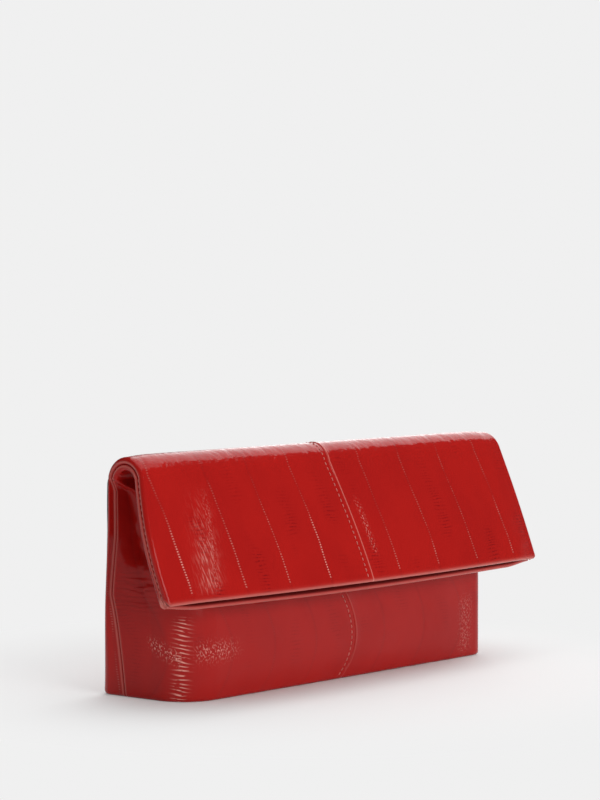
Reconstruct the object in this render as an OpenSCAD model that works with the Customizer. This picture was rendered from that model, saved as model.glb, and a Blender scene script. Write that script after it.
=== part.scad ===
// Fold-over clutch in glossy eel leather: a tall flat pouch with a boxed bottom, whose
// upper part rolls over softly and hangs down in front. The pouch's mouth is the hanging edge.
// X runs along the width, -Y is the front, +Z is up, and the origin is the middle of the base.

/* [Overall size] */
// Width of the flat pouch, which is the width of its mouth
pouch_w = 310; // [260:1:372]
// Depth of the boxed base, front to back
base_d = 63; // [52:1:76]
// Height of the middle of the soft roll above the base
roll_h = 118.7; // [98:0.1:143]
// How far the middle of the roll sits in front of the middle of the base
roll_forward = 13.8; // [8:0.1:18]
// Width across the roll
roll_w = 301; // [251:1:310]
// Outside radius of the soft roll
roll_r = 14; // [12:0.5:18]
// Length of the hanging flap below the roll, to the outer lip
flap_l = 71.5; // [59:0.5:86]
// How much lower than the outer lip the inner lip hangs
lip_drop = 4; // [0:0.5:8]
// Lean of the hanging flap away from the upright
flap_lean = 20.44; // [16:0.01:24]
// Height of the upright lower part of the front
front_upright_h = 50; // [40:1:60]

/* [Leather and lining] */
// Thickness of the leather
leather_t = 1.3; // [1:0.1:1.6]
// Thickness of the lining fabric
lining_t = 0.6; // [0.4:0.1:0.8]
// Thickness of the interlining that stiffens the body panels
interlining_t = 0.8; // [0.5:0.1:1]
// Clearance between two plies that lie on each other
ply_gap = 0.2; // [0.1:0.05:0.3]
// Clearance between the two linings inside the roll and the flap
inner_space = 2.8; // [2.4:0.1:3.4]
// Clearance between two panels along a seam
seam_gap = 0.2; // [0.1:0.05:0.4]
// Clearance between two bodies at a fold line
fold_gap = 0.3; // [0.2:0.05:0.5]

/* [Body corners and side seams] */
// Outside radius of the front vertical corners
front_corner_r = 13; // [8:1:18]
// Outside radius of the back vertical corners
back_corner_r = 7; // [5:1:12]
// Distance of the side seam from the back edge at the base
side_seam_back = 16; // [10:1:20]
// Height at which the side seam reaches the back edge
side_seam_top = 57; // [45:1:70]
// Distance of the side seam from the back face above that height
side_seam_edge = 2.6; // [2.2:0.1:3.4]

/* [Base] */
// Thickness of the board in the base
board_t = 1.5; // [1:0.1:2.5]
// Clearance between the base's plies and the walls round them
base_gap = 0.5; // [0.4:0.1:0.8]

/* [Mouth] */
// Height of the leather facing inside each lip
facing_h = 24; // [20:1:32]
// Thickness of each facing
facing_t = 1.6; // [1.5:0.1:1.9]
// How far the facing stops short of its lip
facing_setback = 1; // [0.5:0.1:2]
// Diameter of each sewn-in magnet
magnet_dia = 14; // [10:0.5:18]
// Thickness of each magnet
magnet_t = 1.1; // [0.8:0.1:1.2]
// Clearance round each magnet in its pocket
magnet_gap = 0.15; // [0.1:0.05:0.3]

/* [Slip pocket] */
// Width of the slip pocket
pocket_w = 140; // [100:1:180]
// Distance of the pocket's foot from the base, along the back
pocket_foot = 14; // [10:1:20]
// Height of the pocket
pocket_h = 50; // [40:1:56]
// Height of the leather binding on the pocket's edge
binding_h = 8; // [5:1:12]
// Thickness of each leaf of the binding
binding_t = 0.5; // [0.4:0.1:0.7]

/* [Stitching] */
// Distance from one stitch to the next
stitch_pitch = 3; // [2.5:0.1:4]
// Length of one stitch
stitch_l = 2; // [1.5:0.1:2.2]
// Width of the thread
thread_w = 0.5; // [0.3:0.05:0.8]
// Height of a stitch above the leather
stitch_h = 0.25; // [0.15:0.05:0.4]
// Distance of the centre stitching from the centre seam
stitch_offset = 3.5; // [2:0.1:6]

/* [Hidden] */

// Colours
leather_red = [0.62, 0.07, 0.06];
leather_dark = [0.45, 0.04, 0.05];
lining_black = [0.12, 0.09, 0.09];
board_grey = [0.55, 0.52, 0.48];
steel_grey = [0.7, 0.7, 0.72];
thread_red = [0.75, 0.12, 0.1];

// Plies, counted inwards from the outer face of the roll and the flap
lining_in = leather_t + ply_gap;
ply_stack = lining_in + lining_t;
stack_t = 2 * ply_stack + inner_space;
// The same in the body, where an interlining lies between leather and lining
interlining_in = leather_t + ply_gap;
body_lining_in = interlining_in + interlining_t + ply_gap;
body_stack = body_lining_in + lining_t;

// The back face leans so that it runs on smoothly into the roll
roll_c = [-roll_forward, roll_h];
back_foot = [base_d / 2, 0];
foot_to_roll = norm(roll_c - back_foot);
back_lean = atan2(back_foot[0] - roll_c[0], roll_h) - asin(roll_r / foot_to_roll);
back_up = [-sin(back_lean), cos(back_lean)];
back_l = sqrt(foot_to_roll * foot_to_roll - roll_r * roll_r);

// Angles round the roll, counted from the top of the back face to the top of the flap
roll_turn = 180 - back_lean - flap_lean;
fold_1 = roll_turn / 4;
fold_2 = roll_turn * 3 / 4;
gap_turn = asin(fold_gap / 2 / roll_r);
// A ply of the roll starts this far inside its body panel, and is this much inside it on each face,
// so that the two are one piece
tuck_turn = 1.2;
tuck_in = 0.03;

function on_roll(turn, r) = roll_c + r * [cos(back_lean + turn), sin(back_lean + turn)];

// Body outline at four levels: front and back point, half-widths, corner radii
roll_front_pt = on_roll(0, roll_r - stack_t);
roll_back_pt = on_roll(0, roll_r);
upright_back_pt = back_foot + back_up * (front_upright_h / cos(back_lean));
base_half = (pouch_w - base_d) / 2;
upright_front_half = base_half + 0.5;
upright_side = upright_back_pt[0] + base_d / 2;
upright_back_half = pouch_w - upright_side - upright_front_half;
roll_corner_r = stack_t / 2 - 0.1;
// The interlining ends at this share of the way from the upright part to the roll
interlining_end = 0.8;

function mix(a, b, share) = a + (b - a) * share;
function mix_levels(low, high, share) = [for (i = [0:5]) mix(low[i], high[i], share)];

base_level = [[-base_d / 2, 0], back_foot, base_half, base_half, front_corner_r, back_corner_r];
upright_level = [[-base_d / 2, front_upright_h], upright_back_pt, upright_front_half,
    upright_back_half, front_corner_r, back_corner_r];
roll_level = [roll_front_pt, roll_back_pt, roll_w / 2, roll_w / 2, roll_corner_r, roll_corner_r];
shoulder_level = mix_levels(upright_level, roll_level, interlining_end);
levels = [base_level, upright_level, shoulder_level, roll_level];

// Points of one rounded outline, moved inwards by inset
corner_steps = 4;
function corner(c, r, from) = [for (k = [0:corner_steps]) c + r * [cos(from + 90 * k / corner_steps),
    sin(from + 90 * k / corner_steps)]];
function outline(level, inset) =
    let (deep = norm(level[1] - level[0]), rf = max(level[4] - inset, 0.3), rb = max(level[5] - inset, 0.3),
        xf = level[2] - inset - rf, xb = level[3] - inset - rb, uf = inset + rf, ub = deep - inset - rb)
    concat(corner([xb, ub], rb, 0), corner([-xb, ub], rb, 90),
        corner([-xf, uf], rf, 180), corner([xf, uf], rf, 270));
function from_front(level, inwards) = level[0] + (level[1] - level[0]) * inwards / norm(level[1] - level[0]);
function ring(level, inset, lift = 0) = [for (p = outline(level, inset))
    let (yz = from_front(level, p[1]) + lift * back_up) [p[0], yz[0], yz[1]]];

// Solid with the given rings as its levels
module loft(rings) {
    n = len(rings[0]);
    last = (len(rings) - 1) * n;
    foot = [for (i = [0:n - 1]) i];
    top = [for (i = [n - 1:-1:0]) last + i];
    walls = [for (j = [0:len(rings) - 2], i = [0:n - 1])
        let (a = j * n + i, b = j * n + (i + 1) % n) each [[a, a + n, b + n], [a, b + n, b]]];
    polyhedron(points = [for (r = rings) each r], faces = concat([foot], [top], walls));
}

// Tube of one ply of the body. Its insets are given for the base, upright, shoulder and roll levels
over = 1;
module body_ply(outer, inner) {
    difference() {
        loft([for (i = [0:3]) ring(levels[i], outer[i])]);
        loft(concat([ring(levels[0], inner[0], -over)], [for (i = [0:3]) ring(levels[i], inner[i])],
            [ring(levels[3], inner[3], over)]));
    }
}

// Bar along X whose section is drawn in Y and Z
module along_x(x0, x1) {
    translate([x0, 0, 0]) rotate([90, 0, 90]) linear_extrude(height = x1 - x0) children();
}

// The side seam, and what lies in front of it or behind it
reach = 400;
function seam_line(shift) = let (low = back_foot - [side_seam_back - shift, over],
    high = back_foot + back_up * side_seam_top - [(side_seam_edge - shift) / cos(back_lean), 0])
    [low, high, high + back_up * reach];
module before_seam(x0, x1) {
    along_x(x0, x1) polygon(concat(seam_line(-seam_gap / 2), [[-reach, reach], [-reach, -over]]));
}
module behind_seam(x0, x1) {
    along_x(x0, x1) polygon(concat(seam_line(seam_gap / 2), [[reach, reach], [reach, -over]]));
}

// Ply round the roll, between two turns and two radii
module roll_ply(from, to, r_out, r_in, x0, x1) {
    far = 3 * roll_r;
    along_x(x0, x1) translate(roll_c) intersection() {
        difference() {
            circle(r = r_out, $fn = 96);
            circle(r = r_in, $fn = 96);
        }
        polygon([[0, 0], for (k = [0:3]) let (a = back_lean + mix(from, to, k / 3)) far * [cos(a), sin(a)]]);
    }
}

// Ply of the flap, in the flap's own frame: x across, y down the flap, z inwards from its outer face
module on_flap() {
    top = on_roll(roll_turn, roll_r);
    translate([0, top[0], top[1]]) rotate([-90 - flap_lean, 0, 0]) children();
}
function flap_half(s) = mix(roll_w, pouch_w, s / flap_l) / 2;
module flap_ply(s0, s1, in0, in1, x0, x1, edge = 0) {
    // x0 and x1 are -1, 0 or 1: the left edge, the centre seam or the right edge
    function across(side, s) = side == 0 ? 0 : side * (flap_half(s) - edge);
    cut = [x0 == 0 ? seam_gap / 2 : 0, x1 == 0 ? -seam_gap / 2 : 0];
    translate([0, 0, in0]) linear_extrude(height = in1 - in0) polygon([
        [across(x0, s0) + cut[0], s0], [across(x1, s0) + cut[1], s0],
        [across(x1, s1) + cut[1], s1], [across(x0, s1) + cut[0], s1]]);
}

// The back's own frame: x across, y up the back, z inwards from its outer face
module on_back() {
    translate([0, back_foot[0], back_foot[1]]) rotate([90 + back_lean, 0, 0]) children();
}

// Stitching starts this far above the base, and stops this far short of a panel's upper or lower edge
stitch_foot = 4;
stitch_end = 2;
// Row of stitches beside the centre seam, along y, standing out of the face at z = 0 towards -z
module stitch_row(from, to) {
    count = floor((to - from - stitch_l) / stitch_pitch);
    for (i = [0:count]) translate([-stitch_offset - thread_w / 2, from + i * stitch_pitch, -stitch_h])
        cube([thread_w, stitch_l, stitch_h]);
}

// ---- Base ----
module base_plate(inset, from, thick) {
    // its outline clears the spreading sides at its lower face and the leaning back at its upper face
    low = mix_levels(base_level, upright_level, from / front_upright_h);
    high = mix_levels(base_level, upright_level, (from + thick) / front_upright_h);
    level = [[low[0][0], 0], [high[1][0], 0], low[2], low[3], low[4], low[5]];
    translate([0, 0, from]) linear_extrude(height = thick)
        polygon([for (p = outline(level, inset)) [p[0], p[1] + low[0][0]]]);
}
board_z = leather_t + ply_gap;
base_lining_z = board_z + board_t + ply_gap;
module base_panel() color(leather_dark) base_plate(leather_t + base_gap, 0, leather_t);
module base_board() color(board_grey) base_plate(leather_t + base_gap, board_z, board_t);
module base_lining() color(lining_black) base_plate(body_stack + base_gap + ply_gap, base_lining_z, lining_t);

// ---- Back of the body ----
leather_out = [0, 0, 0, 0];
leather_in = [for (i = [0:3]) leather_t];
lining_out_insets = [body_lining_in, body_lining_in, body_lining_in, lining_in];
lining_in_insets = [for (inset = lining_out_insets) inset + lining_t];
roll_half = roll_w / 2;
lining_edge = roll_half - lining_in;
inner_r = roll_r - stack_t;

// The body's own share of the roll, up to the first fold line
crest_edge = roll_half - roll_corner_r - 1;
module pouch_crest(r_out, r_in, x0 = -crest_edge, x1 = crest_edge) {
    roll_ply(-tuck_turn, fold_1 - gap_turn, r_out - tuck_in, r_in + tuck_in, x0, x1);
}

module back_panel(x0, x1) {
    intersection() {
        body_ply(leather_out, leather_in);
        behind_seam(x0 < 0 ? -reach : x0, x1 > 0 ? reach : x1);
    }
    pouch_crest(roll_r, roll_r - leather_t, x0, x1);
}
module back_panel_left() color(leather_red) back_panel(-crest_edge, -seam_gap / 2);
module back_panel_right() color(leather_red) back_panel(seam_gap / 2, crest_edge);
plate_half = base_half - front_corner_r;
module back_interlining() color(board_grey) on_back() {
    foot = (base_lining_z + body_lining_in * sin(back_lean)) / cos(back_lean);
    head = mix(front_upright_h, back_l, interlining_end) - over;
    inwards = (leather_t * cos(back_lean) + body_lining_in * cos(back_lean) - interlining_t) / 2;
    translate([-plate_half, foot, inwards]) cube([2 * plate_half, head - foot, interlining_t]);
}
module body_lining_cut() {
    // the wall linings start above the board's face
    translate([-reach, -reach, base_lining_z - ply_gap]) cube(2 * reach);
}
module back_lining() color(lining_black) {
    intersection() {
        body_ply(lining_out_insets, lining_in_insets);
        behind_seam(-reach, reach);
        body_lining_cut();
    }
    pouch_crest(roll_r - lining_in, roll_r - ply_stack);
}
module back_stitching() color(thread_red) on_back() stitch_row(stitch_foot, back_l - stitch_end);

// ---- Front of the body ----
module front_panel(x0, x1) {
    intersection() {
        body_ply(leather_out, leather_in);
        before_seam(x0 < 0 ? -reach : x0, x1 > 0 ? reach : x1);
    }
    pouch_crest(inner_r + leather_t, inner_r, x0, x1);
}
module front_panel_left() color(leather_red) front_panel(-crest_edge, -seam_gap / 2);
module front_panel_right() color(leather_red) front_panel(seam_gap / 2, crest_edge);
// Keeps the interlining's upper edge off the joint between two levels
level_clear = 0.01;
module front_interlining() color(board_grey) {
    low = mix_levels(base_level, upright_level, base_lining_z / front_upright_h);
    high = mix_levels(upright_level, roll_level, interlining_end - level_clear);
    stations = [low, upright_level, high];
    along_x(-plate_half, plate_half) polygon(concat(
        [for (level = stations) from_front(level, interlining_in)],
        [for (i = [2:-1:0]) from_front(stations[i], interlining_in + interlining_t)]));
}
module front_lining() color(lining_black) {
    intersection() {
        body_ply(lining_out_insets, lining_in_insets);
        before_seam(-reach, reach);
        body_lining_cut();
    }
    pouch_crest(inner_r + ply_stack, inner_r + lining_in);
}
module front_stitching() color(thread_red) {
    translate([0, -base_d / 2, 0]) rotate([90, 0, 0]) mirror([0, 0, 1]) 
        stitch_row(stitch_foot, front_upright_h - stitch_end / 2);
    rise = roll_level[0] - upright_level[0];
    slant = atan2(rise[0], rise[1]);
    translate([0, upright_level[0][0], front_upright_h]) rotate([90 - slant, 0, 0]) mirror([0, 0, 1])
        stitch_row(stitch_end / 2, norm(rise) - stitch_end);
}

// ---- Slip pocket on the back lining ----
pocket_in = body_stack + ply_gap + binding_t + ply_gap / 2;
module slip_pocket() color(lining_black) on_back()
    translate([-pocket_w / 2, pocket_foot, pocket_in]) cube([pocket_w, pocket_h, lining_t]);
module pocket_binding() color(leather_red) on_back() {
    slot = lining_t + ply_gap;
    top = pocket_foot + pocket_h + ply_gap / 2;
    difference() {
        translate([-pocket_w / 2, top - binding_h, pocket_in - ply_gap / 2 - binding_t])
            cube([pocket_w, binding_h + binding_t, slot + 2 * binding_t]);
        translate([-pocket_w / 2 - over, top - binding_h - over, pocket_in - ply_gap / 2])
            cube([pocket_w + 2 * over, binding_h + over, slot]);
    }
}

// ---- Middle of the roll ----
module fold_ply(r_out, r_in, x0, x1) roll_ply(fold_1 + gap_turn, fold_2 - gap_turn, r_out, r_in, x0, x1);
module fold_outer_left() color(leather_red) fold_ply(roll_r, roll_r - leather_t, -roll_half, -seam_gap / 2);
module fold_outer_right() color(leather_red) fold_ply(roll_r, roll_r - leather_t, seam_gap / 2, roll_half);
module fold_outer_lining() color(lining_black)
    fold_ply(roll_r - lining_in, roll_r - ply_stack, -lining_edge, lining_edge);
module fold_inner_left() color(leather_red) fold_ply(inner_r + leather_t, inner_r, -roll_half, -seam_gap / 2);
module fold_inner_right() color(leather_red) fold_ply(inner_r + leather_t, inner_r, seam_gap / 2, roll_half);
module fold_inner_lining() color(lining_black)
    fold_ply(inner_r + ply_stack, inner_r + lining_in, -lining_edge, lining_edge);

// ---- Flap: front of the roll and the inner layer ----
module crest_ply(r_out, r_in, x0, x1, end) roll_ply(fold_2 + gap_turn, end, r_out, r_in, x0, x1);
crest_end = roll_turn - gap_turn;
module flap_crest_left() color(leather_red)
    crest_ply(roll_r, roll_r - leather_t, -roll_half, -seam_gap / 2, crest_end);
module flap_crest_right() color(leather_red)
    crest_ply(roll_r, roll_r - leather_t, seam_gap / 2, roll_half, crest_end);
module flap_crest_lining() color(lining_black)
    crest_ply(roll_r - lining_in, roll_r - ply_stack, -lining_edge, lining_edge, crest_end);

inner_l = flap_l + lip_drop;
tuck_l = 0.2;
module flap_inner(x0, x1, side0, side1) {
    crest_ply(inner_r + leather_t, inner_r, x0, x1, roll_turn);
    on_flap() flap_ply(-tuck_l, inner_l, stack_t - leather_t, stack_t, side0, side1);
}
module flap_inner_left() color(leather_red) flap_inner(-roll_half, -seam_gap / 2, -1, 0);
module flap_inner_right() color(leather_red) flap_inner(seam_gap / 2, roll_half, 0, 1);
module flap_inner_lining() color(lining_black) {
    crest_ply(inner_r + ply_stack, inner_r + lining_in, -lining_edge, lining_edge, roll_turn);
    on_flap() flap_ply(-tuck_l, inner_l - facing_h - facing_setback - ply_gap,
        stack_t - ply_stack, stack_t - lining_in, -1, 1, lining_in);
}
// Facing with a blind pocket for its magnet, open towards the leather at z = 0
magnet_s = flap_l - facing_h / 2;
module facing(lip) {
    difference() {
        flap_ply(lip - facing_h - facing_setback, lip - facing_setback, 0, facing_t, -1, 1, lining_in);
        translate([0, magnet_s, -over]) cylinder(d = magnet_dia + 2 * magnet_gap,
            h = over + magnet_t + magnet_gap, $fn = 64);
    }
}
module magnet() translate([0, magnet_s, 0]) cylinder(d = magnet_dia, h = magnet_t, $fn = 64);
module inner_facing() color(leather_dark) on_flap()
    translate([0, 0, stack_t - lining_in]) mirror([0, 0, 1]) facing(inner_l);
module inner_magnet() color(steel_grey) on_flap()
    translate([0, 0, stack_t - lining_in]) mirror([0, 0, 1]) magnet();
module flap_inner_stitching() color(thread_red) on_flap()
    translate([0, 0, stack_t]) mirror([0, 0, 1]) stitch_row(stitch_end, inner_l - stitch_end);

// ---- Lip: the outer layer of the flap ----
lip_top = fold_gap / 2;
module lip_panel_left() color(leather_red) on_flap() flap_ply(lip_top, flap_l, 0, leather_t, -1, 0);
module lip_panel_right() color(leather_red) on_flap() flap_ply(lip_top, flap_l, 0, leather_t, 0, 1);
module lip_lining() color(lining_black) on_flap()
    flap_ply(lip_top, flap_l - facing_h - facing_setback - ply_gap, lining_in, ply_stack, -1, 1, lining_in);
module outer_facing() color(leather_dark) on_flap() translate([0, 0, lining_in]) facing(flap_l);
module outer_magnet() color(steel_grey) on_flap() translate([0, 0, lining_in]) magnet();
module lip_stitching() color(thread_red) on_flap() stitch_row(stitch_end, flap_l - stitch_end);

base_panel();
base_board();
base_lining();
back_panel_left();
back_panel_right();
back_interlining();
back_lining();
front_panel_left();
front_panel_right();
front_interlining();
front_lining();
slip_pocket();
pocket_binding();
back_stitching();
front_stitching();
fold_outer_left();
fold_outer_right();
fold_outer_lining();
fold_inner_left();
fold_inner_right();
fold_inner_lining();
flap_crest_left();
flap_crest_right();
flap_crest_lining();
flap_inner_left();
flap_inner_right();
flap_inner_lining();
inner_facing();
inner_magnet();
flap_inner_stitching();
lip_panel_left();
lip_panel_right();
lip_lining();
outer_facing();
outer_magnet();
lip_stitching();
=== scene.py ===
import math

import bpy
import numpy as np
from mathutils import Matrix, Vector


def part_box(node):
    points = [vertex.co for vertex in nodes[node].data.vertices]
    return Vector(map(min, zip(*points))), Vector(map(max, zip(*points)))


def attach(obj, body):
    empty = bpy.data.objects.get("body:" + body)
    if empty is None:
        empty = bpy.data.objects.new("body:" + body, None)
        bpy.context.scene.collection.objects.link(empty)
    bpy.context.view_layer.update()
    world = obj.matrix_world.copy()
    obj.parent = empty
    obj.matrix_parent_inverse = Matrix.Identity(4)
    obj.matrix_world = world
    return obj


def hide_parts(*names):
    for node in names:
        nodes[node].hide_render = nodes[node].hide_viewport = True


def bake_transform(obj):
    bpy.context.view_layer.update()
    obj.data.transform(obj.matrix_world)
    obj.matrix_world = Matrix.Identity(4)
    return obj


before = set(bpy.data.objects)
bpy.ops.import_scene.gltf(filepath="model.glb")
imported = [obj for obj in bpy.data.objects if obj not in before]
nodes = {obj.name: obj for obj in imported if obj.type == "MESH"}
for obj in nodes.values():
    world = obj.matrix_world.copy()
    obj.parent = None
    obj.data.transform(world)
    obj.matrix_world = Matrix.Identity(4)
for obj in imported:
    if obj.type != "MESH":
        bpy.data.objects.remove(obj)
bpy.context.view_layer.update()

# ---- Camera ----
# A long lens stands a little above the purse, off its left front corner, and looks along its
# diagonal.
camera_place = (-1.0506, -0.9792, 0.2270)
camera_turn = math.radians(-47.006)
camera_dip = math.radians(2.785)
camera_data = bpy.data.cameras.new("camera")
camera_data.lens = 113.08
camera_data.sensor_width = 36
camera_data.clip_end = 100
camera = bpy.data.objects.new("camera", camera_data)
camera.location = camera_place
camera.rotation_euler = (math.pi / 2 - camera_dip, 0, camera_turn)
bpy.context.scene.collection.objects.link(camera)
bpy.context.scene.camera = camera
bpy.context.scene.view_settings.view_transform = "Standard"


# ---- Floor and soft light ----
# A pale studio floor runs on into a pale surround. One wide soft box stands to the right and lights
# the top of the roll, one hangs in front, and a large one overhead fills the rest.
class Wire:
    """A value in a node tree. Arithmetic on it adds Math nodes."""

    def __init__(self, tree, socket):
        self.tree = tree
        self.socket = socket

    def math(self, operation, *values):
        return node(self.tree, "ShaderNodeMath", {"operation": operation}, dict(enumerate(values)))

    def __add__(self, other):
        return self.math("ADD", self, other)

    def __sub__(self, other):
        return self.math("SUBTRACT", self, other)

    def __rsub__(self, other):
        return self.math("SUBTRACT", other, self)

    def __mul__(self, other):
        return self.math("MULTIPLY", self, other)

    def __truediv__(self, other):
        return self.math("DIVIDE", self, other)

    def __neg__(self):
        return self.math("MULTIPLY", self, -1)

    def __abs__(self):
        return self.math("ABSOLUTE", self)

    __radd__ = __add__
    __rmul__ = __mul__

    def most(self, other):
        return self.math("MAXIMUM", self, other)

    def above(self, level):
        return self.math("GREATER_THAN", self, level)

    def whole(self):
        return self.math("FLOOR", self)

    def fraction(self):
        return self.math("FRACT", self)

    def sine(self):
        return self.math("SINE", self)

    def wave(self, pitch):
        """A wave between -1 and 1 that repeats over the pitch."""
        return (self * (2 * math.pi / pitch)).sine()

    def ripple(self, pitch):
        """A wave between 0 and 1 that repeats over the pitch."""
        return self.wave(pitch) * 0.5 + 0.5

    def hill(self, middle, width):
        """1 at the middle, falling to nothing a couple of widths away."""
        off = (self - middle) / width
        return self.math("POWER", math.e, -(off * off))

    def rise(self, low, high):
        """0 below low, 1 above high, and a smooth step between."""
        return node(self.tree, "ShaderNodeMapRange", {"interpolation_type": "SMOOTHSTEP"},
                    {"Value": self, "From Min": low, "From Max": high})

    def span(self, low, low_end, high, high_end):
        """1 between two smooth steps, and 0 outside them."""
        return self.rise(low, low_end) * (1 - self.rise(high, high_end))


def node(tree, kind, settings, sockets, out=0):
    """Adds one node: its settings first, ramp stops among them, then the values or links of its sockets."""
    made = tree.nodes.new(kind)
    for name, value in settings.items():
        if name == "stops":
            ramp = made.color_ramp
            while len(ramp.elements) < len(value):
                ramp.elements.new(0.5)
            for element, (place, colour) in zip(ramp.elements, value):
                element.position = place
                element.color = (*colour, 1)
        else:
            setattr(made, name, value)
    for name, value in sockets.items():
        if isinstance(value, Wire):
            tree.links.new(value.socket, made.inputs[name])
        else:
            made.inputs[name].default_value = value
    return Wire(tree, made.outputs[out]) if made.outputs else None


def new_material(name):
    material = bpy.data.materials.new(name)
    material.use_nodes = True
    material.node_tree.nodes.clear()
    return material, material.node_tree


def mesh_object(name, points, faces):
    mesh = bpy.data.meshes.new(name)
    mesh.from_pydata([tuple(p) for p in points], [], faces)
    mesh.update()
    made = bpy.data.objects.new(name, mesh)
    bpy.context.scene.collection.objects.link(made)
    return made


pale = (0.871, 0.871, 0.871)
floor_half = 12.0
floor_near = 0.07
floor_far = 0.26
floor_corners = [(x * floor_half, y * floor_half, 0) for x, y in ((-1, -1), (1, -1), (1, 1), (-1, 1))]
floor = mesh_object("floor", floor_corners, [(0, 1, 2, 3)])
floor_material, tree = new_material("pale_floor")
ray = tree.nodes.new("ShaderNodeLightPath")
seen, mirrored, through = [Wire(tree, ray.outputs[kind])
                           for kind in ("Is Camera Ray", "Is Glossy Ray", "Is Transmission Ray")]
place = node(tree, "ShaderNodeTexCoord", {}, {}, "Object")
away = node(tree, "ShaderNodeVectorMath", {"operation": "LENGTH"}, {0: place}, "Value")
plain = node(tree, "ShaderNodeEmission", {}, {"Color": (*pale, 1), "Strength": 1})
lit = node(tree, "ShaderNodeBsdfDiffuse", {}, {"Color": (*pale, 1)})
share = away.rise(floor_near, floor_far) * seen.most(mirrored + through)
surface = node(tree, "ShaderNodeMixShader", {}, {0: share, 1: lit, 2: plain})
node(tree, "ShaderNodeOutputMaterial", {}, {"Surface": surface})
floor.data.materials.append(floor_material)

dim = (0.09, 0.09, 0.09)
pale_up_to = 0.13
dim_from = 0.27
world = bpy.data.worlds.new("surround")
bpy.context.scene.world = world
world.use_nodes = True
world.node_tree.nodes.clear()
tree = world.node_tree
direction = node(tree, "ShaderNodeTexCoord", {}, {}, "Generated")
height = node(tree, "ShaderNodeSeparateXYZ", {}, {0: direction}, "Z")
surround = node(tree, "ShaderNodeValToRGB",
                {"stops": [(0.0, pale), (pale_up_to, pale), (dim_from, dim), (1.0, dim)]}, {"Fac": height})
background = node(tree, "ShaderNodeBackground", {}, {"Color": surround, "Strength": 1})
node(tree, "ShaderNodeOutputWorld", {}, {"Surface": background})


def soft_box(name, place, width, height, watts):
    data = bpy.data.lights.new(name, "AREA")
    data.shape = "RECTANGLE"
    data.size = width
    data.size_y = height
    data.energy = watts
    lamp = bpy.data.objects.new(name, data)
    lamp.location = place
    lamp.rotation_euler = (-Vector(place)).to_track_quat("-Z", "Y").to_euler()
    lamp.visible_camera = False
    bpy.context.scene.collection.objects.link(lamp)


soft_box("right_box", (0.85, 0.41, 0.72), width=0.9, height=1.15, watts=6.4)
soft_box("front_box", (-0.30, -1.50, 0.52), width=0.85, height=0.8, watts=12.6)
soft_box("top_box", (0.1, -0.2, 2.0), width=2.2, height=2.2, watts=30)

# ---- How the leather is cut and folded ----
# The body is a flat tube with a boxed foot. Above the body it rolls over and hangs down in front.
# Every row of the leather, from the foot to the mouth, is one flat ring with a front face, a back
# face, rounded corners and a side seam. Sides are -1 for the left and 1 for the right.
mm = 0.001
lip_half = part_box("lip_panel_right")[1].x
fold_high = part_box("fold_outer_right")[1]
base_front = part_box("front_panel_left")[0].y
base_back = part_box("back_panel_left")[1].y
roll_half = fold_high.x
base_half = lip_half - 31.5 * mm
roll_r = 14 * mm
stack = 7 * mm
leather_t = 1.25 * mm
back_lean = math.radians(14.562)
flap_lean = math.radians(20.44)
roll_turn = math.pi - back_lean - flap_lean
roll_middle = np.array([-13.8 * mm, fold_high.z - roll_r])
flap_l = 71.5 * mm

# Rows of points, from the foot up, over the roll and down to the turned hem
foot_rows = 6
body_rows = 62
roll_rows = 52
flap_rows = 40
hem_rows = 8
tuck_rows = 3


def smooth(share):
    share = np.clip(share, 0, 1)
    return share * share * (3 - 2 * share)


def on_roll(turn, radius):
    """Point in Y and Z at a turn round the roll, counted from the top of the back."""
    angle = back_lean + turn
    return roll_middle + radius * np.stack([np.cos(angle), np.sin(angle)], -1)


roll_front = on_roll(0.0, roll_r - stack)
roll_back = on_roll(0.0, roll_r)
foot_r = 2.2 * mm
under = 4 * mm
foot_turn = np.linspace(math.pi / 2, 0, foot_rows)
foot_inset = np.concatenate([[foot_r + under], foot_r * (1 - np.cos(foot_turn))])
foot_height = np.concatenate([[0], foot_r * (1 - np.sin(foot_turn))])
wall_height = np.linspace(foot_r, roll_back[1], body_rows + 1)[1:]
level_height = np.concatenate([foot_height, wall_height])
inset = np.concatenate([foot_inset, np.zeros(body_rows)])
height_share = level_height / roll_back[1]

# The front stands nearly upright up to its knee and leans back above it
knee_z = 50 * mm
knee_soft = 5 * mm
front_flare = 0.5 * mm
back_flare = 4 * mm


def past_knee(z):
    """How far a height is past the knee, with the knee itself rounded off."""
    return knee_soft * np.logaddexp(0, (z - knee_z) / knee_soft)


front_z = height_share * roll_front[1]
spread = (past_knee(front_z) - past_knee(0)) / (past_knee(roll_front[1]) - past_knee(0))
front_y = base_front + spread * (roll_front[0] - base_front)
back_y = base_back + height_share * (roll_back[0] - base_back)
body_front_half = base_half + front_flare + spread * (roll_half - base_half - front_flare)
body_back_half = base_half + back_flare + height_share * (roll_half - base_half - back_flare)

# The side seam starts well forward of the back at the foot and closes on it higher up
seam_top_z = 57 * mm
upper_z = 88 * mm
edge_r = 2.1 * mm
curl_r = 1.2 * mm
seam_in_foot = 19 * mm
seam_in_knee = 5.5 * mm
seam_in_top = 3.5 * mm
back_corner_foot = 7 * mm
back_corner_knee = 3.5 * mm
low_share = level_height / seam_top_z
top_share = smooth((level_height - upper_z) / (roll_back[1] - upper_z))
seam_in = (seam_in_foot + np.clip(low_share, 0, 1) * (seam_in_knee - seam_in_foot)
           + top_share * (seam_in_top - seam_in_knee))
back_corner = (back_corner_foot + smooth(low_share) * (back_corner_knee - back_corner_foot)
               + top_share * (edge_r - back_corner_knee))

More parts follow.
